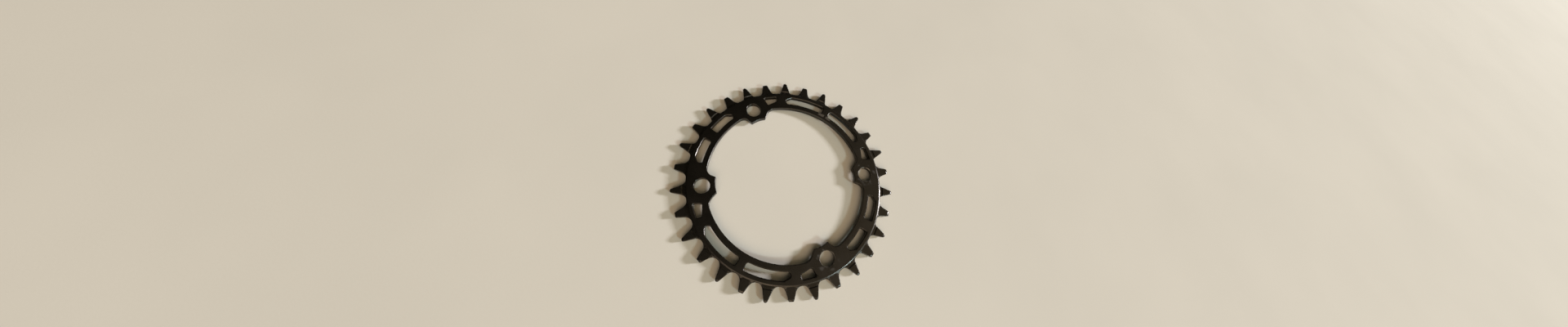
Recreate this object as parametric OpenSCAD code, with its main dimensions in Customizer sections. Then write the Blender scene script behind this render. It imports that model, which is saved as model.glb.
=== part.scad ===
// Narrow-wide chainring for a four-bolt crank spider, cut from one aluminium plate.
// X runs from the ring's axis through a wide tooth, midway between two bolt holes that stand
// close together. Z is the ring's axis, with the outer face up. Z = 0 is the back of the bolt
// tabs, the face that seats on the crank spider.

/* [Chain] */
// Number of teeth, even so that wide and narrow teeth alternate
teeth = 30; // [30:2:38]
// Chain pitch, half an inch
chain_pitch = 12.7; // [12.7]
// Radius of the seat that a chain roller drops into
seat_r = 3.97; // [3.9:0.01:4.05]

/* [Teeth] */
// Thickness of a wide tooth, between the outer plates of the chain
wide_t = 3.4; // [3.2:0.1:3.9]
// Thickness of a narrow tooth, between the inner plates of the chain
narrow_t = 2.3; // [1.8:0.1:2.3]
// Distance of the narrow teeth's middle from the wide teeth's, towards the outer face
narrow_offset = 0.25; // [0:0.05:0.4]
// Height of a wide tooth above the pitch circle
wide_rise = 3.05; // [2.5:0.05:3.4]
// Height of a narrow tooth above the pitch circle
narrow_rise = 4.25; // [3.6:0.05:4.5]
// Slope of a wide tooth's flanks, degrees from the tooth's own axis
wide_flank = 15; // [12:1:18]
// Slope of a narrow tooth's flanks, degrees from the tooth's own axis
narrow_flank = 17; // [14:1:20]
// Depth of the relief at the foot of each narrow tooth, which clears the chain's inner plates
relief_depth = 0.35; // [0.2:0.05:0.5]
// Distance below the pitch circle at which that relief ends
relief_drop = 1.7; // [1.4:0.1:2.2]
// Length of the bevel that thins each tooth's tip
tip_bevel = 1.1; // [0.3:0.1:1.2]

/* [Body] */
// Thickness of the body, bolt tabs included
body_t = 2.7; // [2.4:0.1:4]
// Height of the body's outer face above the wide teeth's outer face
face_step = 0.95; // [0.4:0.05:1.6]
// Radius of the large central opening
inner_r = 46.1; // [45:0.05:46.4]
// Width of the bevel round the body's outer face
face_bevel = 0.6; // [0.2:0.05:0.8]
// Depth of that bevel
face_bevel_h = 0.23; // [0.1:0.01:0.35]
// Width of the thick band under the teeth, inwards from the tooth roots
band_w = 1.9; // [1.6:0.1:2.1]

/* [Bolt holes] */
// Diameter of the bolt circle
bolt_circle_d = 96; // [96]
// Angle from the X axis to each bolt hole: the holes stand in two close pairs
bolt_angle = 35; // [33:1:37]
// Diameter of each bolt hole
bolt_hole_d = 8.5; // [7.8:0.1:9]

/* [Bolt tabs] */
// Radius of each tab's two inner corners
tab_corner_r = 40.6; // [39.5:0.1:41.5]
// Half of the angle between a tab's two corners
tab_half_angle = 6.2; // [5.5:0.1:7]
// Depth of the shallow hollow between a tab's corners
tab_hollow = 0.6; // [0.3:0.1:0.9]

/* [Windows] */
// Inner radius of the windows
window_inner_r = 49.4; // [49:0.1:50]
// Outer radius of the windows
window_outer_r = 53.9; // [53.4:0.1:54.2]

/* [Hidden] */

$fn = 96;
cut = 1; // overshoot of a cutting tool past the surface it cuts

tooth_angle = 360 / teeth;
half_tooth = tooth_angle / 2;
pitch_r = chain_pitch / 2 / sin(half_tooth);
root_r = pitch_r - seat_r;
rim_r = root_r + 0.4; // outer radius of the thick band, a little past the tooth roots
relief_r = pitch_r - relief_drop;
wide_tip_r = pitch_r + wide_rise;
narrow_tip_r = pitch_r + narrow_rise;

tip_bevel_h = 0.4; // depth of a tooth's tip bevel on each face, less on a thin tooth
tip_overlap = 0.05; // overshoot of the narrow teeth's disc past their round tips

tooth_top_z = body_t - face_step;
tooth_mid_z = tooth_top_z - wide_t / 2;
tooth_back_z = tooth_top_z - wide_t;
band_r = root_r - band_w;
disc_inset = 0.3; // the discs of teeth start this far inside the thick band
body_taper = 0.05; // the body's side slopes out by this much down to the teeth
body_r = root_r - face_bevel - body_taper;

bolt_r = bolt_circle_d / 2;
bolt_angles = [bolt_angle, 180 - bolt_angle, 180 + bolt_angle, 360 - bolt_angle];

// Fillets where a tab runs into the central opening: radius, and angle from the tab's middle at
// which the fillet meets the opening, first on the side of the close pair and then on the other
tab_fillet_near = [4, 12.6];
tab_fillet_far = [6, 16];
// How far a tab's outline runs on into the ring: outwards, and in degrees towards its middle
tab_overlap = [1.5, 3];

// Window beside the X axis: corner radius, angle of its square end, and its other end, which is
// given as an angle at the inner arc, a corner as radius and angle, and an angle at the outer arc
medium_corner_r = 0.9;
medium_square = 4.6;
medium_inner = 18.6;
medium_cut = [51.2, 18.8];
medium_outer = 16.2;

// Window beside the Y axis, in the same terms
long_corner_r = 1.3;
long_square = 86;
long_inner = 62;
long_cut = [51.3, 61.6];
long_outer = 64.4;

// Small window beside a tab: corner radius, angles of its two corners at the outer arc, and its
// two inner corners as radius and angle
small_corner_r = 0.8;
small_outer = [46.1, 52.8];
small_deep = [50.1, 47.2];
small_shallow = [51.8, 53];

// How far the windows' outlines are closed outside the outer arc
window_overlap = 4;

function polar(r, angle) = [r * cos(angle), r * sin(angle)];
function heading(p, q) = atan2(q[1] - p[1], q[0] - p[0]);

// Points along an arc, closer together where it is large
function arc(centre, r, from, to) =
    let (steps = max(1, ceil(abs(to - from) / (r > 2 ? 6 : 15))))
    [for (i = [0 : steps]) centre + polar(r, from + (to - from) * i / steps)];

// A list of points with its last stretch, and its first if both, made longer, so that each crosses
// a circle which it would otherwise only touch
function run_out(p, both = true) =
    let (last = len(p) - 1)
    [for (i = [0 : last])
        i == 0 && both ? p[0] + (p[0] - p[1]) / 2 :
        i == last ? p[last] + (p[last] - p[last - 1]) / 2 : p[i]];

// The angle, less than a full turn below the one before, that points the same way as the given angle
function turn_down(before, angle) = before - ((before - angle) % 360 + 360) % 360;

// Outline that runs round circles of radius r at the given centres, and straight from one to the
// next. It starts and ends where the outline faces the angles before and last.
function rounded_chain(centres, r, before, last, i = 0) =
    i == len(centres) ? [] :
    let (facing = i == len(centres) - 1 ? last : heading(centres[i], centres[i + 1]) + 90,
         after = turn_down(before, facing))
    concat(arc(centres[i], r, before, after), rounded_chain(centres, r, after, last, i + 1));

// Where a straight flank leaves the roller seat, in the frame of its tooth, taken a hair inside the
// seat so that the two surfaces cross
function flank_start(slope) =
    let (r = seat_r - 0.03)
    [pitch_r * cos(half_tooth) - r * sin(slope), pitch_r * sin(half_tooth) - r * cos(slope)];

// Point on the same flank at distance x from the ring's axis
function flank_point(slope, x) =
    let (start = flank_start(slope)) [x, start[1] - (x - start[0]) * tan(slope)];

// Distance from the ring's axis of the centre of a round tip that both flanks of a tooth run into
function tip_centre(slope, tip_r) =
    let (start = flank_start(slope))
    (tip_r - start[1] * cos(slope) - start[0] * sin(slope)) / (1 - sin(slope));

// Point where the line from p touches a circle, on the circle's side that faces the ring's axis
function touch_point(p, centre, r) =
    let (away = norm(centre - p), turn = heading(p, centre) - asin(r / away))
    p + polar(sqrt(away * away - r * r), turn);

// Section through a row of teeth with both outer corners bevelled. The outer face is lower by
// relief inside radius r_relief.
module tooth_disc(r_in, r_tip, t, r_relief = 0, relief = 0) {
    bevel_h = min(tip_bevel_h, t / 4);
    rotate_extrude($fn = 240)
        polygon(concat(
            [
                [r_in, -t / 2], [r_tip - tip_bevel, -t / 2], [r_tip, bevel_h - t / 2],
                [r_tip, t / 2 - bevel_h], [r_tip - tip_bevel, t / 2]
            ],
            relief > 0
                ? [[r_relief, t / 2], [r_relief - relief, t / 2 - relief], [r_in, t / 2 - relief]]
                : [[r_in, t / 2]]));
}

function mirrored(points) =
    [for (i = [len(points) - 1 : -1 : 0]) [points[i][0], -points[i][1]]];

// Point beside a tooth's root, inside the thick band
tooth_foot = [root_r - 0.3, 5];

module wide_outline_2d() {
    side = [tooth_foot, flank_start(wide_flank), flank_point(wide_flank, wide_tip_r + cut)];
    polygon(concat(side, mirrored(side)));
}

module narrow_outline_2d() {
    x = tip_centre(narrow_flank, narrow_tip_r);
    side = [tooth_foot, flank_start(narrow_flank)];
    polygon(concat(side, arc([x, 0], narrow_tip_r - x, 90 - narrow_flank, narrow_flank - 90),
        mirrored(side)));
}

// Section of the plate without its teeth: thin body, and a thick band that carries the teeth
module plate_section_2d() {
    polygon([
        [inner_r, 0], [band_r, 0], [band_r, tooth_back_z], [rim_r, tooth_back_z],
        [rim_r, tooth_top_z], [root_r, tooth_top_z], [body_r + face_bevel, body_t - face_bevel_h],
        [body_r, body_t], [inner_r, body_t]
    ]);
}

module wide_teeth() {
    translate([0, 0, tooth_mid_z])
        intersection() {
            tooth_disc(band_r + disc_inset, wide_tip_r, wide_t);
            for (i = [0 : 2 : teeth - 2])
                rotate(i * tooth_angle)
                    linear_extrude(wide_t + 2 * cut, center = true) wide_outline_2d();
        }
}

module narrow_teeth() {
    translate([0, 0, tooth_mid_z + narrow_offset])
        intersection() {
            tooth_disc(band_r + disc_inset, narrow_tip_r + tip_overlap, narrow_t, relief_r, relief_depth);
            for (i = [1 : 2 : teeth - 1])
                rotate(i * tooth_angle)
                    linear_extrude(narrow_t + 2 * cut, center = true) narrow_outline_2d();
        }
}

module roller_seats() {
    for (i = [0 : teeth - 1])
        rotate((i + 0.5) * tooth_angle)
            translate([pitch_r, 0, tooth_back_z - cut])
                cylinder(h = wide_t + 2 * cut, r = seat_r, $fn = 64);
}

// Half of a bolt tab's outline, from the middle of its hollow edge round to inside the ring
function half_tab(fillet) =
    let (r = fillet[0],
         corner = polar(tab_corner_r, tab_half_angle),
         half_chord = corner[1],
         hollow_r = (half_chord * half_chord + tab_hollow * tab_hollow) / 2 / tab_hollow,
         hollow_x = corner[0] + tab_hollow - hollow_r,
         centre = polar(inner_r - r, fillet[1]),
         touch = touch_point(corner, centre, r))
    concat(
        [for (i = [0 : 3]) [hollow_x, 0] + polar(hollow_r, asin(half_chord / hollow_r) * i / 3)],
        run_out(arc(centre, r, heading(centre, touch), fillet[1]), false),
        [polar(inner_r + tab_overlap[0], fillet[1] - tab_overlap[1])]);

// Bolt tab pointing along X, with the other hole of its close pair on the side of negative angles
module tab_2d() {
    polygon(concat(half_tab(tab_fillet_far), mirrored(half_tab(tab_fillet_near))));
}

// Window between two arcs round the ring's axis. Each end is a list of corner centres, and goes
// from the outer arc to the inner one at the first end and back again at the second.
module window_2d(first_end, second_end, r) {
    a = heading([0, 0], first_end[0]);
    b = heading([0, 0], first_end[len(first_end) - 1]);
    c = heading([0, 0], second_end[0]);
    d = heading([0, 0], second_end[len(second_end) - 1]);
    intersection() {
        difference() {
            circle(r = window_outer_r, $fn = 240);
            circle(r = window_inner_r, $fn = 240);
        }
        polygon(concat(
            run_out(rounded_chain(first_end, r, a, b - 180)),
            run_out(rounded_chain(second_end, r, c + 180, d)),
            [polar(window_outer_r + window_overlap, (a + d) / 2)]));
    }
}

// Window beside the X axis: square towards the axis, with a cut corner towards the tab
module medium_window_2d() {
    r = medium_corner_r;
    outer = window_outer_r - r;
    inner = window_inner_r + r;
    window_2d(
        [polar(outer, medium_square), polar(inner, medium_square)],
        [
            polar(inner, medium_inner), polar(medium_cut[0], medium_cut[1]),
            polar(outer, medium_outer)
        ], r);
}

// Window beside the Y axis: square towards that axis, with a cut corner towards the tab
module long_window_2d() {
    r = long_corner_r;
    outer = window_outer_r - r;
    inner = window_inner_r + r;
    window_2d(
        [
            polar(outer, long_outer), polar(long_cut[0], long_cut[1]),
            polar(inner, long_inner)
        ],
        [polar(inner, long_square), polar(outer, long_square)], r);
}

// Small four-sided window beside a tab, deeper at the end next to the tab
module small_window_2d() {
    r = small_corner_r;
    outer = window_outer_r - r;
    first = small_outer[0];
    last = small_outer[1];
    ends = [
        polar(outer, first), polar(small_deep[0], small_deep[1]),
        polar(small_shallow[0], small_shallow[1]), polar(outer, last)
    ];
    intersection() {
        circle(r = window_outer_r, $fn = 240);
        polygon(concat(
            run_out(rounded_chain(ends, r, first, last)),
            [polar(window_outer_r + window_overlap, (first + last) / 2)]));
    }
}

module windows_2d() {
    for (flip_x = [0, 1], flip_y = [0, 1])
        mirror([flip_x, 0]) mirror([0, flip_y]) {
            medium_window_2d();
            long_window_2d();
            small_window_2d();
        }
}

module bolt_tabs() {
    linear_extrude(body_t)
        for (flip_x = [0, 1], flip_y = [0, 1])
            mirror([flip_x, 0]) mirror([0, flip_y]) rotate(bolt_angle) tab_2d();
}

module bolt_holes() {
    for (angle = bolt_angles)
        rotate(angle)
            translate([bolt_r, 0, -cut]) cylinder(h = body_t + 2 * cut, d = bolt_hole_d);
}

module chainring() {
    color([0.09, 0.085, 0.08])
        difference() {
            union() {
                rotate_extrude($fn = 240) plate_section_2d();
                bolt_tabs();
                wide_teeth();
                narrow_teeth();
            }
            roller_seats();
            translate([0, 0, -cut]) linear_extrude(body_t + 2 * cut) windows_2d();
            bolt_holes();
        }
}

chainring();
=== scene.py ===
import math

import bpy
import numpy as np
from mathutils import Matrix, Vector
from mathutils.geometry import delaunay_2d_cdt


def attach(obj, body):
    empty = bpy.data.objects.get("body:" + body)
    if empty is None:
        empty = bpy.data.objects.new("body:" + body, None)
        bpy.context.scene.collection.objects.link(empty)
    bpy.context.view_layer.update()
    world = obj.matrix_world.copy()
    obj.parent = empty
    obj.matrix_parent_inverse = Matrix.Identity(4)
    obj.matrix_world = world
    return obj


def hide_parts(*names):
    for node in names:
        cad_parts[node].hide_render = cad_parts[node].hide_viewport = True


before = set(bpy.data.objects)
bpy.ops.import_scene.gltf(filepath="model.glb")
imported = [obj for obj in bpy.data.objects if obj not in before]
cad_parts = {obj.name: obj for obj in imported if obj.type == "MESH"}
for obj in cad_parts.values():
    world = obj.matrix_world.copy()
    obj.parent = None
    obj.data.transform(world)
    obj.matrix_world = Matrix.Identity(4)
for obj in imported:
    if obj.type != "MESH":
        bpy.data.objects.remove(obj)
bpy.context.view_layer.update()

MM = 0.001

# ---------------------------------------------------------------- sizes, in mm, as in the CAD model
TEETH = 30
TOOTH_ANGLE = 360 / TEETH
CHAIN_PITCH = 12.7
PITCH_R = CHAIN_PITCH / 2 / math.sin(math.radians(TOOTH_ANGLE / 2))
SEAT_R = 3.97
WIDE_TIP_R = PITCH_R + 3.05
NARROW_TIP_R = PITCH_R + 4.24
WIDE_FLANK, NARROW_FLANK = 15, 17
RELIEF_R = PITCH_R - 1.7
BODY_TOP, TOOTH_TOP, NARROW_TOP = 2.7, 1.75, 1.45
BODY_BACK, TOOTH_BACK, NARROW_BACK = 0.0, -1.65, -0.85
BAND_R = 54.88
INNER_R = 46.1
BOLT_R, BOLT_ANGLE, HOLE_R = 48.0, 35, 4.25
TAB_CORNER_R, TAB_HALF_ANGLE, TAB_HOLLOW = 40.6, 6.2, 0.6
TAB_FILLET_NEAR, TAB_FILLET_FAR = (4, 12.6), (6, 16)
WINDOW_IN, WINDOW_OUT = 49.4, 53.9

# The windows in the first quadrant: the radius of each one's corners, and the middles of the corners
# at its first and second end, as distance from the axis and angle
MEDIUM_CORNER, LONG_CORNER, SMALL_CORNER = 0.9, 1.3, 0.8
MEDIUM_FIRST = [(WINDOW_OUT - MEDIUM_CORNER, 4.6), (WINDOW_IN + MEDIUM_CORNER, 4.6)]
MEDIUM_SECOND = [(WINDOW_IN + MEDIUM_CORNER, 18.6), (51.2, 18.8), (WINDOW_OUT - MEDIUM_CORNER, 16.2)]
LONG_FIRST = [(WINDOW_OUT - LONG_CORNER, 64.4), (51.3, 61.6), (WINDOW_IN + LONG_CORNER, 62)]
LONG_SECOND = [(WINDOW_IN + LONG_CORNER, 86), (WINDOW_OUT - LONG_CORNER, 86)]
SMALL_START, SMALL_END = 46.1, 52.8
SMALL_ALL = [
    (WINDOW_OUT - SMALL_CORNER, SMALL_START), (50.1, 47.2),
    (51.8, 53), (WINDOW_OUT - SMALL_CORNER, SMALL_END),
]

# ---------------------------------------------------------------- finish details that the CAD leaves out
# Sections through the outer face, as distances from the axis and heights: the ring's bevel and its step
# down to the teeth, and the relief at the foot of a narrow tooth
RING_R = 56.78
BODY_EDGE = [(55.92, BODY_TOP), (56.02, 2.682), (56.66, 2.44), (56.73, 2.33), (RING_R, TOOTH_TOP)]
NARROW_FOOT = [
    (RING_R, TOOTH_TOP), (56.84, 1.12), (58.5, 1.1), (58.58, 1.09), (58.96, 1.41), (RELIEF_R, NARROW_TOP),
]
# Slopes on the back: where each starts and how far it runs, from the ring down to the band, and from
# the band up to a narrow tooth
BAND_RUN = 0.25
NARROW_BACK_R, BACK_RUN = 57.1, 0.3
# Section through a broken edge, as shares of its size: distance from the wall, and drop
BREAK = [(0.0, 1.0), (0.12, 0.80), (0.85, 0.16), (1.2, 0.0)]
BACK_SHARE = 0.8                # a broken edge on the back is this much of the one in front
# Bevel of a tooth's tip: distance below the tip, and drop
TIP_BEVEL = [(0.0, 0.39), (1.0, 0.025), (1.15, 0.0)]
EDGE_TEETH, EDGE_WINDOW, EDGE_HOLE, EDGE_INNER = 0.26, 0.36, 0.2, 0.26
# Radii of the plan's sharp corners, and how far short of the CAD's outline a wide tooth's tip stays
TEETH_ROUNDING, OPENING_ROUNDING = 0.42, 0.5
FLANK_SHORT, CROWN_SHORT = 0.03, 0.01

# ---------------------------------------------------------------- how finely curves and faces are cut
# Degrees between the points of an arc
RING_STEP, HOLE_STEP, SEAT_STEP, TAB_STEP, TIP_STEP, CORNER_STEP, ROUNDING_STEP = 1.5, 5, 6, 6, 9, 15, 16
TOOTH_REACH = 4.5               # feature lines on a tooth reach this many degrees to each side
SAME_POINT = 0.012              # points closer than this, in mm, are one
ON_WALL = 2e-3                  # points closer than this to an outline, in mm, lie on it
CDT_MERGE = 1e-4                # the triangulation joins points closer than this, in mm
CHUNK = 2000                    # points whose distances are worked out together
SHARP_ANGLE = 52                # edges that turn by more than this, in degrees, stay crisp
SHADE_WEIGHT = 80               # how strongly large faces set the shading normals


# ---------------------------------------------------------------- plane geometry
def polar(r, deg):
    """The point at a distance and an angle from the axis."""
    a = math.radians(deg)
    return np.array([r * math.cos(a), r * math.sin(a)])


def heading(p, q):
    """The angle of the way from p to q, in degrees."""
    return math.degrees(math.atan2(q[1] - p[1], q[0] - p[0]))


def arc(centre, r, start, end, step):
    """Points on an arc from one angle to another, about `step` apart, all in degrees."""
    n = max(2, int(math.ceil(abs(end - start) / step)))
    return [np.asarray(centre) + polar(r, start + (end - start) * i / n) for i in range(n + 1)]


def turned(points, deg):
    """Points turned round the axis."""
    c, s = math.cos(math.radians(deg)), math.sin(math.radians(deg))
    return [np.array([c * x - s * y, s * x + c * y]) for x, y in points]


def mirrored(points, x=1, y=1):
    """Points mirrored, in an order that keeps the outline's sense of turning."""
    out = [np.array([q[0] * x, q[1] * y]) for q in points]
    return out[::-1] if x * y < 0 else out


def rounded_chain(centres, r, before, last):
    """Outline round circles of radius r, straight from one to the next, turning clockwise."""
    out = []
    for i, c in enumerate(centres):
        facing = last if i == len(centres) - 1 else heading(centres[i], centres[i + 1]) + 90
        after = before - ((before - facing) % 360)
        out += arc(c, r, before, after, CORNER_STEP)
        before = after
    return out


def tidy(points, gap=SAME_POINT):
    """Drops points that repeat the one before."""
    out = []
    for q in points:
        if not out or np.hypot(*(q - out[-1])) > gap:
            out.append(q)
    if np.hypot(*(out[0] - out[-1])) < gap:
        out.pop()
    return np.array(out)


def area(p):
    """Area of a closed outline, positive if it runs anticlockwise."""
    x, y = p[:, 0], p[:, 1]
    return 0.5 * float(np.sum(x * np.roll(y, -1) - np.roll(x, -1) * y))


def soften(p, r, least=28):
    """Rounds each corner that turns by more than `least` degrees, with radius r."""
    out, n = [], len(p)
    for i in range(n):
        a, b, c = p[i - 1], p[i], p[(i + 1) % n]
        u, v = (a - b) / np.hypot(*(a - b)), (c - b) / np.hypot(*(c - b))
        turn = 180 - math.degrees(math.acos(max(-1, min(1, float(u @ v)))))
        if turn < least:
            out.append(b)
            continue
        half = math.radians(180 - turn) / 2
        back = min(r / math.tan(half), 0.45 * min(np.hypot(*(a - b)), np.hypot(*(c - b))))
        real_r = back * math.tan(half)
        bisector = (u + v) / np.hypot(*(u + v))
        centre = b + bisector * real_r / math.sin(half)
        s, e = b + u * back, b + v * back
        a0, a1 = heading(centre, s), heading(centre, e)
        a1 = a0 + (a1 - a0 + 180) % 360 - 180
        out += arc(centre, real_r, a0, a1, ROUNDING_STEP)
    return tidy(out)


def offset(p, d, least=0.4):
    """The closed outline moved by d to its left; `least` keeps sharp corners from shooting out."""
    e = np.roll(p, -1, 0) - p
    n = np.c_[-e[:, 1], e[:, 0]] / np.hypot(e[:, 0], e[:, 1])[:, None]
    m = n + np.roll(n, 1, 0)
    m /= np.maximum((m * m).sum(1), least)[:, None] / 2
    return p + m * d


def flank_start(slope):
    """Where a tooth's flank leaves its seat, on the positive side, in the tooth's frame."""
    s, half = math.radians(slope), math.radians(TOOTH_ANGLE / 2)
    return np.array([PITCH_R * math.cos(half) - SEAT_R * math.sin(s),
                     PITCH_R * math.sin(half) - SEAT_R * math.cos(s)])


def wide_side():
    """Flank of a wide tooth from its seat to its tip, and the height of its end above the middle."""
    start = flank_start(WIDE_FLANK)
    x = WIDE_TIP_R - FLANK_SHORT
    tip = np.array([x, start[1] - (x - start[0]) * math.tan(math.radians(WIDE_FLANK))])
    return [start + (tip - start) * t for t in (0, 0.33, 0.66, 1)], float(tip[1])


def narrow_side():
    """Flank of a narrow tooth from its seat, and half of its round tip."""
    s = math.radians(NARROW_FLANK)
    start = flank_start(NARROW_FLANK)
    cx = (NARROW_TIP_R - start[1] * math.cos(s) - start[0] * math.sin(s)) / (1 - math.sin(s))
    r = NARROW_TIP_R - cx
    end = np.array([cx, 0]) + polar(r, 90 - NARROW_FLANK)
    flank = [start + (end - start) * t for t in (0, 0.25, 0.5, 0.75)]
    return flank + arc([cx, 0], r, 90 - NARROW_FLANK, 0, TIP_STEP)


def tooth_outline():
    """All the teeth and the roller seats between them, as one closed outline."""
    wide, wide_y = wide_side()
    tip_deg = math.degrees(math.atan2(wide_y, WIDE_TIP_R - FLANK_SHORT))
    narrow = narrow_side()
    out = []
    for i in range(TEETH):
        side = wide if i % 2 == 0 else narrow
        slope, after = (WIDE_FLANK, NARROW_FLANK) if i % 2 == 0 else (NARROW_FLANK, WIDE_FLANK)
        up = mirrored(side, y=-1)[::-1]
        if i % 2 == 0:
            crown = [polar(WIDE_TIP_R - CROWN_SHORT, tip_deg * t) for t in (-0.5, 0, 0.5)]
            tooth = up + crown + side[::-1]
        else:
            tooth = up + side[::-1][1:]
        out += turned(tooth, i * TOOTH_ANGLE)
        seat = (i + 0.5) * TOOTH_ANGLE
        out += arc(polar(PITCH_R, seat), SEAT_R,
                   i * TOOTH_ANGLE - 90 - slope, (i + 1) * TOOTH_ANGLE + 90 + after - 360, SEAT_STEP)[1:-1]
    return soften(tidy(out), TEETH_ROUNDING)


def half_tab(fillet):
    """From the middle of a bolt tab's hollow end to where its fillet meets the ring."""
    r, at = fillet
    corner = polar(TAB_CORNER_R, TAB_HALF_ANGLE)
    hollow_r = (corner[1] ** 2 + TAB_HOLLOW ** 2) / 2 / TAB_HOLLOW
    hollow = np.array([corner[0] + TAB_HOLLOW - hollow_r, 0])
    sweep = math.degrees(math.asin(corner[1] / hollow_r))
    centre = polar(INNER_R - r, at)
    away = np.hypot(*(centre - corner))
    turn = heading(corner, centre) - math.degrees(math.asin(r / away))
    touch = corner + polar(math.sqrt(away * away - r * r), turn)
    fillet_arc = arc(centre, r, heading(centre, touch), at, TAB_STEP)
    return arc(hollow, hollow_r, 0, sweep, TAB_STEP) + fillet_arc


def opening_outline():
    """The central opening with its four tabs, anticlockwise."""
    near, far = half_tab(TAB_FILLET_NEAR), half_tab(TAB_FILLET_FAR)
    tab = mirrored(near, y=-1) + far[1:]
    tabs = [
        (turned(tab, BOLT_ANGLE), BOLT_ANGLE - TAB_FILLET_NEAR[1], BOLT_ANGLE + TAB_FILLET_FAR[1]),
        (mirrored(turned(tab, BOLT_ANGLE), x=-1), 180 - BOLT_ANGLE - TAB_FILLET_FAR[1],
         180 - BOLT_ANGLE + TAB_FILLET_NEAR[1]),
    ]
    tabs += [(turned(t, 180), a + 180, b + 180) for t, a, b in tabs]
    out = []
    for k, (t, a, b) in enumerate(tabs):
        follow = tabs[(k + 1) % 4][1] + (360 if k == 3 else 0)
        out += t + arc([0, 0], INNER_R, b, follow, RING_STEP)[1:-1]
    return soften(tidy(out), OPENING_ROUNDING)


def window(first, second, r):
    """A window between two arcs round the axis, with the given corners at its two ends."""
    first, second = [polar(*q) for q in first], [polar(*q) for q in second]
    a, b = heading((0, 0), first[0]), heading((0, 0), first[-1])
    c, d = heading((0, 0), second[0]), heading((0, 0), second[-1])
    return (rounded_chain(first, r, a, b - 180) + arc((0, 0), WINDOW_IN, b, c, RING_STEP)[1:-1]
            + rounded_chain(second, r, c + 180, d) + arc((0, 0), WINDOW_OUT, d, a, RING_STEP)[1:-1])


def window_outlines():
    """All twelve windows: three, and their mirror images."""
    medium = window(MEDIUM_FIRST, MEDIUM_SECOND, MEDIUM_CORNER)
    long = window(LONG_FIRST, LONG_SECOND, LONG_CORNER)
    small = (rounded_chain([polar(*q) for q in SMALL_ALL], SMALL_CORNER, SMALL_START, SMALL_END)
             + arc((0, 0), WINDOW_OUT, SMALL_END, SMALL_START, RING_STEP)[1:-1])
    return [tidy(mirrored(w, x, y)) for w in (medium, long, small) for x in (1, -1) for y in (1, -1)]


# ---------------------------------------------------------------- the plate as one closed mesh
def lerp(x, a, b, va, vb):
    """From va at a to vb at b, and level outside them."""
    t = np.clip((x - a) / (b - a), 0, 1)
    return va + (vb - va) * t


def face_heights(x, y):
    """Height of the outer face and of the back at each point, before its edges are broken."""
    r, deg = np.hypot(x, y), np.degrees(np.arctan2(y, x))
    narrow = (np.round(deg / TOOTH_ANGLE).astype(int) % 2) == 1
    top = np.interp(r, *zip(*BODY_EDGE))
    back = lerp(r, BAND_R, BAND_R + BAND_RUN, BODY_BACK, TOOTH_BACK)
    top = np.where(narrow & (r > NARROW_FOOT[0][0]), np.interp(r, *zip(*NARROW_FOOT)), top)
    back = np.where(narrow & (r > NARROW_BACK_R), lerp(r, NARROW_BACK_R, NARROW_BACK_R + BACK_RUN,
                                                       TOOTH_BACK, NARROW_BACK), back)
    tip = np.where(narrow, NARROW_TIP_R, WIDE_TIP_R)
    drop = np.interp(tip - r, *zip(*TIP_BEVEL))
    return top - drop, back + drop


def closest(points, outline):
    """Distance from each point to a closed outline."""
    best = np.full(len(points), 1e9)
    a, e = outline, np.roll(outline, -1, 0) - outline
    ee = (e * e).sum(1)
    for k in range(0, len(points), CHUNK):
        q = points[k:k + CHUNK, None, :] - a[None]
        t = np.clip((q * e[None]).sum(2) / ee[None], 0, 1)
        d = q - t[..., None] * e[None]
        best[k:k + CHUNK] = np.sqrt((d * d).sum(2).min(1))
    return best


def inside(points, outline):
    """Whether each point lies within a closed outline."""
    x, y = points[:, 0], points[:, 1]
    odd = np.zeros(len(points), bool)
    px, py = outline[:, 0], outline[:, 1]
    qx, qy = np.roll(px, -1), np.roll(py, -1)
    for ax, ay, bx, by in zip(px, py, qx, qy):
        if ay == by:
            continue
        crosses = (ay > y) != (by > y)
        odd ^= crosses & (x < ax + (y - ay) * (bx - ax) / (by - ay))
    return odd


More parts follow.
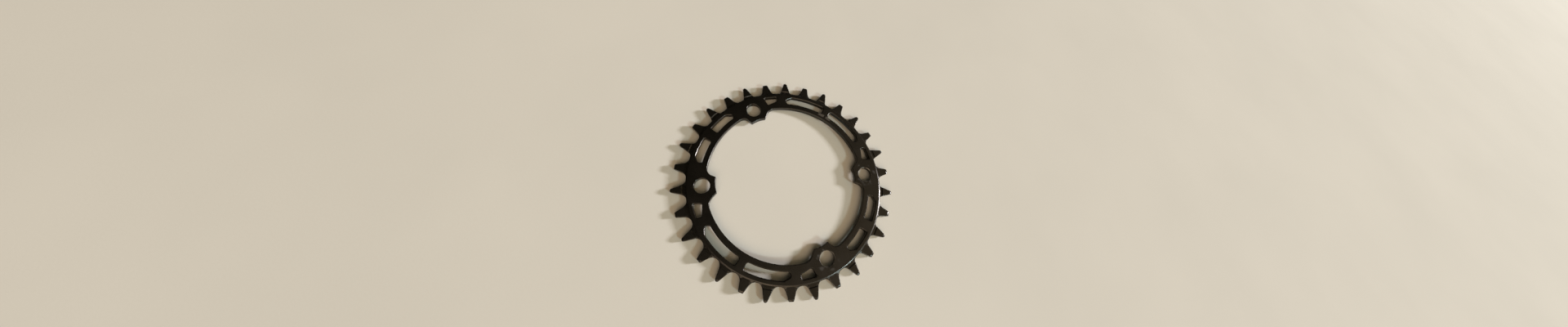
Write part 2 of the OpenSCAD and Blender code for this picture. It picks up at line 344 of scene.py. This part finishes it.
def build_plate(name):
    """The chainring: its plan cut into triangles, raised to two faces and closed with walls."""
    outer = tooth_outline()
    outer = outer if area(outer) > 0 else outer[::-1]
    holes = [(opening_outline(), EDGE_INNER)]
    holes += [(w, EDGE_WINDOW) for w in window_outlines()]
    holes += [(tidy(arc(polar(BOLT_R, a), HOLE_R, 0, 360, HOLE_STEP)), EDGE_HOLE)
              for a in (BOLT_ANGLE, 180 - BOLT_ANGLE, 180 + BOLT_ANGLE, 360 - BOLT_ANGLE)]
    holes = [(h if area(h) < 0 else h[::-1], b) for h, b in holes]     # material is always to the left
    loops = [(outer, EDGE_TEETH)] + holes

    points, edges = [], []

    def add(line, closed=True):
        base = len(points)
        points.extend(Vector((float(x), float(y))) for x, y in line)
        n = len(line)
        edges.extend((base + i, base + (i + 1) % n) for i in range(n if closed else n - 1))

    for line, b in loops:
        for share, _ in BREAK:
            add(offset(line, b * share))
    for r in [r for r, _ in BODY_EDGE] + [BAND_R, BAND_R + BAND_RUN]:
        add(tidy(arc((0, 0), r, 0, 360, RING_STEP)))
    for i in range(TEETH):
        a = i * TOOTH_ANGLE
        narrow = i % 2 == 1
        radii = [(NARROW_TIP_R if narrow else WIDE_TIP_R) - d for d, _ in TIP_BEVEL[1:]]
        if narrow:
            radii += [r for r, _ in NARROW_FOOT[1:]] + [NARROW_BACK_R, NARROW_BACK_R + BACK_RUN]
        for r in radii:
            add(arc((0, 0), r, a - TOOTH_REACH, a + TOOTH_REACH, RING_STEP), closed=False)

    verts, _, tris, _, _, _ = delaunay_2d_cdt(points, edges, [], 0, CDT_MERGE, False)
    v = np.array([tuple(q) for q in verts])
    t = np.array(tris)
    c = v[t].mean(1)
    solid = inside(c, outer)
    for line, _ in holes:
        solid &= ~inside(c, line)
    t = t[solid]
    used = np.unique(t)
    new = np.full(len(v), -1)
    new[used] = np.arange(len(used))
    v, t = v[used], new[t]

    top, back = face_heights(v[:, 0], v[:, 1])
    edge = np.zeros(len(v))
    for line, b in loops:
        d = closest(v, line)
        near = np.interp(d / b, *zip(*BREAK))
        near[d < ON_WALL] = 1
        top, back = top - near * b, back + near * b * BACK_SHARE
        edge = np.maximum(edge, near)

    # all triangles face up; walls stand on the edges that only one triangle uses
    area2 = np.cross(v[t[:, 1]] - v[t[:, 0]], v[t[:, 2]] - v[t[:, 0]])
    t[area2 < 0] = t[area2 < 0][:, ::-1]
    halves = np.r_[t[:, [0, 1]], t[:, [1, 2]], t[:, [2, 0]]]
    forward = set(map(tuple, halves.tolist()))
    rim = [h for h in forward if (h[1], h[0]) not in forward]
    n = len(v)
    faces = t.tolist() + (t[:, ::-1] + n).tolist()
    faces += [(b, a, a + n, b + n) for a, b in rim]
    xyz = np.r_[np.c_[v, top], np.c_[v, back]] * MM

    mesh = bpy.data.meshes.new(name)
    mesh.from_pydata(xyz.tolist(), [], faces)
    mesh.validate()
    mesh.update()
    worn = mesh.attributes.new("edge", "FLOAT", "POINT")
    worn.data.foreach_set("value", np.r_[edge, edge].astype(np.float32))
    for p in mesh.polygons:
        p.use_smooth = True
    obj = bpy.data.objects.new(name, mesh)
    bpy.context.scene.collection.objects.link(obj)
    mark_sharp(mesh, SHARP_ANGLE)
    shade = obj.modifiers.new("even shading", "WEIGHTED_NORMAL")
    shade.mode, shade.weight, shade.keep_sharp = "FACE_AREA", SHADE_WEIGHT, True
    return obj


def mark_sharp(mesh, degrees):
    """Edges that turn by more than the given angle stay crisp."""
    normals = np.zeros(len(mesh.polygons) * 3, np.float32)
    mesh.polygons.foreach_get("normal", normals)
    normals = normals.reshape(-1, 3)
    owners = {}
    for p in mesh.polygons:
        for k in p.edge_keys:
            owners.setdefault(k, []).append(p.index)
    limit = math.cos(math.radians(degrees))
    sharp = np.zeros(len(mesh.edges), bool)
    for e in mesh.edges:
        both = owners.get(e.key, [])
        if len(both) == 2 and float(normals[both[0]] @ normals[both[1]]) < limit:
            sharp[e.index] = True
    mark = mesh.attributes.new("sharp_edge", "BOOLEAN", "EDGE")
    mark.data.foreach_set("value", sharp)


# ---------------------------------------------------------------- materials
class Nodes:
    """Short names for making and joining shader nodes."""

    def __init__(self, name):
        self.material = bpy.data.materials.new(name)
        self.material.use_nodes = True
        self.tree = self.material.node_tree
        self.tree.nodes.clear()
        self.out = self.tree.nodes.new("ShaderNodeOutputMaterial")

    def add(self, kind, inputs=None, **settings):
        node = self.tree.nodes.new("ShaderNode" + kind)
        for k, value in settings.items():
            setattr(node, k, value)
        for k, value in (inputs or {}).items():
            self.put(node.inputs[k], value)
        return node

    def put(self, socket, value):
        if isinstance(value, bpy.types.NodeSocket):
            self.tree.links.new(value, socket)
        else:
            socket.default_value = value

    def math(self, operation, a, b=None, c=None):
        node = self.add("Math", operation=operation)
        for i, value in enumerate((a, b, c)):
            if value is not None:
                self.put(node.inputs[i], value)
        return node.outputs[0]

    def length(self, x, y):
        """Length of (x, y)."""
        squares = self.math("MULTIPLY", x, x), self.math("MULTIPLY", y, y)
        return self.math("SQRT", self.math("ADD", *squares))

    def band(self, value, low, high, soft):
        """1 between low and high, falling to 0 over `soft` outside them."""
        up = self.add("MapRange", {"Value": value, "From Min": low - soft, "From Max": low})
        down = self.add("MapRange", {"Value": value, "From Min": high, "From Max": high + soft,
                                     "To Min": 1.0, "To Max": 0.0})
        return self.math("MULTIPLY", up.outputs[0], down.outputs[0])

    def noise(self, vector, scale, detail=3.0, rough=0.55):
        """Noise of the given scale, in waves per unit of the vector."""
        node = self.add("TexNoise", {"Vector": vector, "Scale": scale, "Detail": detail, "Roughness": rough})
        return node.outputs["Fac"]

    def ramp(self, value, low, high, a=0.0, b=1.0):
        """From a at low to b at high, and level outside them."""
        node = self.add("MapRange", {"Value": value, "From Min": low, "From Max": high,
                                     "To Min": a, "To Max": b})
        return node.outputs[0]

    def blend(self, factor, a, b):
        node = self.add("Mix", data_type="RGBA")
        self.put(node.inputs["Factor"], factor)
        self.put(node.inputs[6], a)
        self.put(node.inputs[7], b)
        return node.outputs[2]


# Colours, linear
BLACKS = (0.0030, 0.0026, 0.0021, 1), (0.0048, 0.0040, 0.0032, 1)
BARE_METAL = (0.56, 0.55, 0.53, 1)
# grey of the smudges round the lamp-side bolt holes: part wear, part painted glint
SMUDGE_AND_GLINT_GREY = (0.075, 0.078, 0.084, 1)
MARK_GREY = (0.13, 0.12, 0.11, 1)
TABLE_TINTS = (0.708, 0.728, 0.715, 1), (0.738, 0.758, 0.745, 1)
# The up part of a face's normal: from slope to level face, and from slope to wall
LEVEL, WALL = (0.9, 0.99), (0.5, 0.2)
# Where a bolt head has been, in mm from the hole's middle, and how softly its mark ends. Its grey smudge and
# the bare specks at the hole's rim appear only on the side the lamps shine from, so they are partly painted
# glints
SEAT_MARK, SEAT_SOFT = (4.4, 6.6), 0.7
HOLE_RIM, RIM_SOFT = (4.2, 4.6), 0.3
# Wear grows from none to full between these: X for the bolts', which puts their marks only on the -X side
# where the lamps shine from, so that they stand partly for painted glints, and distance from the axis for
# the chain's
LAMP_SIDE_X = 0.0, -10.0
CHAIN_WEAR = 57.0, 58.5
# How much each place adds to the chance of bare metal, and the sum at which it starts and is full
RUB_EDGE, RUB_CHAIN, RUB_RIM = 0.5, 0.16, 0.42
BARE_FROM, BARE_FULL, BARE_MOST = 1.18, 1.34, 0.75
# Two plain grey patches on the outer face: their ends in radians, their inner and outer radius, and how
# softly they end in each direction
PATCHES = [(-1.665, -1.60), (-1.569, -1.495)]
PATCH_RADII = 47.8, 49.3
PATCH_SOFT, PATCH_SOFT_R = 0.004, 0.15


def anodised():
    """Black anodising with turning marks, worn to bare metal in places, with grey smudges and bare specks
    round the bolt holes on the lamp side that are partly painted glints.
    """
    k = Nodes("black anodised aluminium")
    place = k.add("TexCoord").outputs["Object"]
    metre = k.add("SeparateXYZ", {"Vector": place})
    x, y, z = (k.math("MULTIPLY", metre.outputs[i], 1000.0) for i in range(3))
    r = k.length(x, y)
    up = k.add("SeparateXYZ", {"Vector": k.add("NewGeometry").outputs["True Normal"]}).outputs[2]
    flat = k.ramp(k.math("ABSOLUTE", up), *LEVEL)
    wall = k.ramp(k.math("ABSOLUTE", up), *WALL)
    corner = k.add("Attribute", attribute_name="edge").outputs["Fac"]
    edge = k.math("MULTIPLY", corner, k.math("SUBTRACT", 1.0, wall))

    # where a bolt head has turned against the face: distance from the nearest hole's middle. Only the holes
    # on the -X side, where the lamps shine from, get its marks, so they are partly painted glints
    px, py = polar(BOLT_R, BOLT_ANGLE)
    dx = k.math("SUBTRACT", k.math("ABSOLUTE", x), float(px))
    dy = k.math("SUBTRACT", k.math("ABSOLUTE", y), float(py))
    hole = k.length(dx, dy)
    used = k.ramp(x, *LAMP_SIDE_X)
    seat = k.math("MULTIPLY", k.math("MULTIPLY", k.band(hole, *SEAT_MARK, SEAT_SOFT), flat), used)
    rim = k.math("MULTIPLY", k.band(hole, *HOLE_RIM, RIM_SOFT), used)

    fine = k.noise(place, 2600.0, 4.0)
    cloud = k.noise(place, 90.0, 4.0, 0.6)
    speck = k.noise(place, 700.0, 2.0, 0.5)
    # turned rings: noise that changes with the radius alone
    rings = k.add("CombineXYZ", {"X": k.math("MULTIPLY", r, 6.0), "Y": 0.0, "Z": k.math("MULTIPLY", z, 2.0)})
    turning = k.noise(rings.outputs[0], 1.0, 5.0, 0.75)

    # bare metal at corners, on the teeth that a chain has run on and round the bolt holes on the lamp side,
    # where it stands partly for painted glints
    chain = k.math("MULTIPLY", k.ramp(r, *CHAIN_WEAR), wall)
    rub = k.math("ADD", k.math("MULTIPLY", edge, RUB_EDGE), k.math("MULTIPLY", chain, RUB_CHAIN))
    rub = k.math("ADD", rub, k.math("MULTIPLY", rim, RUB_RIM))
    grain = k.math("ADD", k.math("MULTIPLY", speck, 0.7), k.math("MULTIPLY", cloud, 0.6))
    bare = k.ramp(k.math("ADD", rub, grain), BARE_FROM, BARE_FULL)
    bare = k.math("MULTIPLY", bare, BARE_MOST)

    black = k.blend(k.ramp(cloud, 0.35, 0.7), *BLACKS)
    # lighter grey smudges round the lamp-side bolt holes: part wear, part painted glint
    smudge_and_glint = k.math("MULTIPLY", seat, k.ramp(k.noise(place, 300.0, 2.0, 0.5), 0.55, 0.66))
    black = k.blend(k.math("MULTIPLY", smudge_and_glint, 0.5), black, SMUDGE_AND_GLINT_GREY)
    turned_to = k.math("ARCTAN2", y, x)
    marks = k.math("ADD", *(k.band(turned_to, *ends, PATCH_SOFT) for ends in PATCHES))
    marks = k.math("MULTIPLY", marks, k.band(r, *PATCH_RADII, PATCH_SOFT_R))
    marks = k.math("MULTIPLY", marks, k.ramp(up, *LEVEL))
    marks = k.math("MULTIPLY", marks, k.ramp(k.noise(place, 1500.0, 2.0), 0.4, 0.6, 0.25, 0.8))
    black = k.blend(marks, black, MARK_GREY)
    colour = k.blend(bare, black, BARE_METAL)

    # satin on the faces, a little smoother where it was cut or rubbed, rougher where it is bare
    rough = k.math("ADD", k.ramp(cloud, 0.3, 0.75, 0.20, 0.30), k.math("MULTIPLY", fine, 0.07))
    rough = k.math("MULTIPLY_ADD", k.math("MAXIMUM", edge, wall), -0.08, rough)
    rough = k.math("MULTIPLY_ADD", bare, 0.06, rough)

    height = k.math("ADD", k.math("MULTIPLY", k.math("MULTIPLY", turning, flat), 0.5),
                    k.math("MULTIPLY", fine, 0.35))
    bump = k.add("Bump", {"Height": height, "Strength": 0.18, "Distance": 0.00004})

    round_the_axis = k.add("Tangent", direction_type="RADIAL", axis="Z")
    skin = k.add("BsdfPrincipled", {
        "Base Color": colour, "Metallic": bare, "Roughness": rough,
        "Specular IOR Level": 0.55, "Anisotropic": 0.3,
        "Tangent": round_the_axis.outputs[0], "Normal": bump.outputs[0],
    })
    k.put(k.out.inputs["Surface"], skin.outputs[0])
    return k.material


def table_top():
    """A pale board without shine, slightly uneven in colour."""
    k = Nodes("pale table")
    place = k.add("TexCoord").outputs["Object"]
    cloud = k.noise(place, 9.0, 3.0)
    grain = k.noise(place, 900.0, 3.0)
    tint = k.ramp(k.math("ADD", k.math("MULTIPLY", cloud, 0.8), k.math("MULTIPLY", grain, 0.2)), 0.35, 0.65)
    colour = k.blend(tint, *TABLE_TINTS)
    bump = k.add("Bump", {"Height": grain, "Strength": 0.15, "Distance": 0.0001})
    skin = k.add("BsdfPrincipled", {"Base Color": colour, "Roughness": 1.0, "Normal": bump.outputs[0],
                                    "Specular IOR Level": 0.0})
    k.put(k.out.inputs["Surface"], skin.outputs[0])
    return k.material


# ---------------------------------------------------------------- the object
plate = build_plate("chainring_plate")
plate.data.materials.append(anodised())
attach(plate, "root")
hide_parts("chainring")

# ---------------------------------------------------------------- floor, light and camera
FLOOR_HALF = 3.0                # metres
FLOOR_GAP = 0.02                # mm between the floor and the lowest teeth
floor_mesh = bpy.data.meshes.new("table")
floor_corners = [(x * FLOOR_HALF, y * FLOOR_HALF, 0) for x, y in ((-1, -1), (1, -1), (1, 1), (-1, 1))]
floor_mesh.from_pydata(floor_corners, [], [(0, 1, 2, 3)])
floor = bpy.data.objects.new("table", floor_mesh)
floor.location = (0, 0, (TOOTH_BACK - FLOOR_GAP) * MM)
floor_mesh.materials.append(table_top())
bpy.context.scene.collection.objects.link(floor)


def area_light(name, direction, distance, size, power, colour):
    """A soft square light that shines on the object from the given direction."""
    light = bpy.data.lights.new(name, "AREA")
    light.shape, light.size, light.energy, light.color = "SQUARE", size, power, colour
    obj = bpy.data.objects.new(name, light)
    d = Vector(direction).normalized()
    obj.location = d * distance
    obj.rotation_euler = d.to_track_quat("Z", "Y").to_euler()
    bpy.context.scene.collection.objects.link(obj)


# Direction, distance and side in metres, power in watts, colour
area_light("light_near", (-1.5, 0.25, 1.0), 7.2, 0.78, 135, (0.82, 1.0, 0.98))
area_light("light_low", (-2.18, -1.45, 1.0), 7.8, 0.9, 585, (1.0, 0.93, 0.90))
area_light("light_fill", (-0.3, 1.0, 1.1), 7.8, 6.0, 200, (1.0, 0.74, 0.52))

# The world's light is warm and strong on one side. Strength goes from low to high with how far a
# direction points to that side, and a share of it from low to high with how far it points up: from, to,
# low, high. The tint goes from the first to the second over the span.
WARM_SIDE = Vector((-1.0, 0.0, 0.0))
WORLD_STRENGTH = -0.14, 1.0, 0.05, 0.92
WORLD_HORIZON = 0.1, 0.65, 0.3, 1.0
WORLD_TINTS = (1.0, 0.88, 0.60, 1), (1.0, 0.70, 0.36, 1)
TINT_SPAN = -0.15, 0.45


def studio_world():
    """Soft light from all round, dim and pale on one side and brighter and warm on the other."""
    world = bpy.data.worlds.new("studio")
    world.use_nodes = True
    tree = world.node_tree
    tree.nodes.clear()

    def node(kind, **settings):
        made = tree.nodes.new("ShaderNode" + kind)
        for name, value in settings.items():
            setattr(made, name, value)
        return made

    def map_range(value, low, high, start=0.0, end=1.0):
        made = node("MapRange")
        tree.links.new(value, made.inputs["Value"])
        for name, number in (("From Min", low), ("From Max", high), ("To Min", start), ("To Max", end)):
            made.inputs[name].default_value = number
        return made.outputs[0]

    where = node("TexCoord").outputs["Generated"]
    dot = node("VectorMath", operation="DOT_PRODUCT")
    tree.links.new(where, dot.inputs[0])
    dot.inputs[1].default_value = WARM_SIDE
    warm = dot.outputs["Value"]
    height = node("SeparateXYZ")
    tree.links.new(where, height.inputs[0])

    tint = node("ValToRGB")
    for element, colour in zip(tint.color_ramp.elements, WORLD_TINTS):
        element.color = colour
    tree.links.new(map_range(warm, *TINT_SPAN), tint.inputs[0])

    strength = node("Math", operation="MULTIPLY")
    tree.links.new(map_range(warm, *WORLD_STRENGTH), strength.inputs[0])
    tree.links.new(map_range(height.outputs["Z"], *WORLD_HORIZON), strength.inputs[1])

    glow, out = node("Background"), node("OutputWorld")
    tree.links.new(tint.outputs[0], glow.inputs["Color"])
    tree.links.new(strength.outputs[0], glow.inputs["Strength"])
    tree.links.new(glow.outputs[0], out.inputs["Surface"])
    return world


bpy.context.scene.world = studio_world()
# The usual transform would make the black of the ring and its shadows too pale
bpy.context.scene.view_settings.view_transform = "Standard"

# The camera's place, and its right, up and back directions
CAMERA_AT = Vector((5.774, 45.8902, 149.2147)) * MM
CAMERA_RIGHT = Vector((-0.866086, -0.471916, 0.164894))
CAMERA_UP = Vector((0.499847, -0.81298, 0.29869))
CAMERA_BACK = Vector((-0.006901, 0.341113, 0.939997))
SENSOR_WIDTH, FOCAL_LENGTH = 36.0, 6.1029       # mm
NEAREST, FARTHEST = 0.005, 20.0                 # metres
lens = bpy.data.cameras.new("camera")
lens.sensor_width, lens.sensor_fit, lens.lens = SENSOR_WIDTH, "HORIZONTAL", FOCAL_LENGTH
lens.clip_start, lens.clip_end = NEAREST, FARTHEST
camera = bpy.data.objects.new("camera", lens)
turn = Matrix((CAMERA_RIGHT, CAMERA_UP, CAMERA_BACK)).transposed().to_4x4()
camera.matrix_world = Matrix.Translation(CAMERA_AT) @ turn
bpy.context.scene.collection.objects.link(camera)
bpy.context.scene.camera = camera
